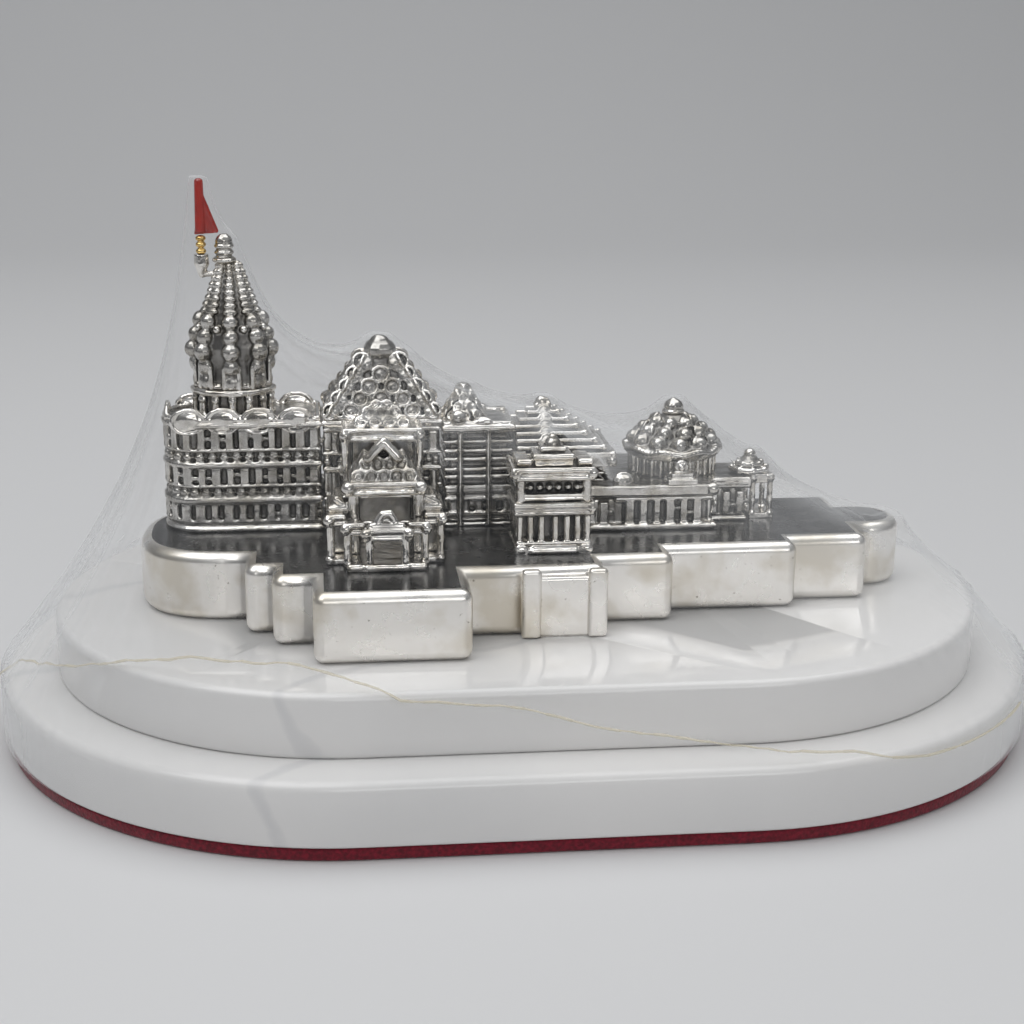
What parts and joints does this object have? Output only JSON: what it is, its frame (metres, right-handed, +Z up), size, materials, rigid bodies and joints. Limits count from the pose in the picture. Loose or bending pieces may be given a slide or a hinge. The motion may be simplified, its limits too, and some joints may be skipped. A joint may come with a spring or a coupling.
{
  "type": "miniature landmark model",
  "caption": "Silver-finish miniature of a domed and spired temple complex on a two-tier round-ended marble stand, wrapped in clear film.",
  "frame": {"origin": "middle of the underside of the felt pad, where the stand rests", "axes": "+Z up, +X along the stand from the tower towards the low end, -Y towards the front stair"},
  "size_m": [0.1218, 0.0818, 0.0644],
  "materials": {
    "silver": "antiqued cast silver, bright on the raised edges and dark in the recesses",
    "marble": "polished white marble with faint grey veins",
    "felt": "dark red felt",
    "gold": "gold plated",
    "red_enamel": "translucent dark red enamel",
    "steel": "plain zinc plated steel",
    "clear_film": "clear heat-shrunk film with fine wrinkles"
  },
  "bodies": {
    "model": {"felt_pad": "felt", "marble_lower_tier": "marble", "marble_upper_tier": "marble", "fixing_washer_left": "steel", "fixing_screw_left": "steel", "fixing_washer_right": "steel", "fixing_screw_right": "steel", "plinth": "silver", "stair_front": "silver", "stair_rear": "silver", "sanctum_wall": "silver", "sanctum_parapet": "silver", "tower_drum": "silver", "tower_shaft": "silver", "tower_finial": "silver", "flag_socket": "silver", "flag_pole": "gold", "flag_pennant": "red_enamel", "great_hall_wall": "silver", "great_hall_roof": "silver", "great_hall_finial": "silver", "middle_hall_wall": "silver", "middle_hall_roof": "silver", "ribbed_hall_wall": "silver", "ribbed_hall_roof": "silver", "low_hall_wall": "silver", "low_hall_roof": "silver", "small_dome_front": "silver", "low_dome_front": "silver", "small_dome_rear": "silver", "low_dome_rear": "silver", "rotunda_drum": "silver", "rotunda_roof": "silver", "rotunda_finial": "silver", "link_wall": "silver", "link_roof": "silver", "canopy_posts": "silver", "canopy_roof": "silver", "porch_front_floor": "silver", "porch_front_hall": "silver", "porch_front_portico": "silver", "porch_front_roof": "silver", "porch_front_upper_storey": "silver", "porch_front_upper_roof": "silver", "porch_rear_floor": "silver", "porch_rear_hall": "silver", "porch_rear_portico": "silver", "porch_rear_roof": "silver", "porch_rear_upper_storey": "silver", "porch_rear_upper_roof": "silver", "gate_front_floor": "silver", "gate_front_lower_storey": "silver", "gate_front_passage": "silver", "gate_front_upper_storey": "silver", "gate_front_roof": "silver", "gate_rear_floor": "silver", "gate_rear_lower_storey": "silver", "gate_rear_passage": "silver"},
    "wrap": {"film_wrap": "clear_film"}
  },
  "joints": [
    {"name": "film_lift", "type": "slide", "parent": "model", "child": "wrap", "axis": [0, 0, 1], "range_m": [0, 0.07]}
  ]
}
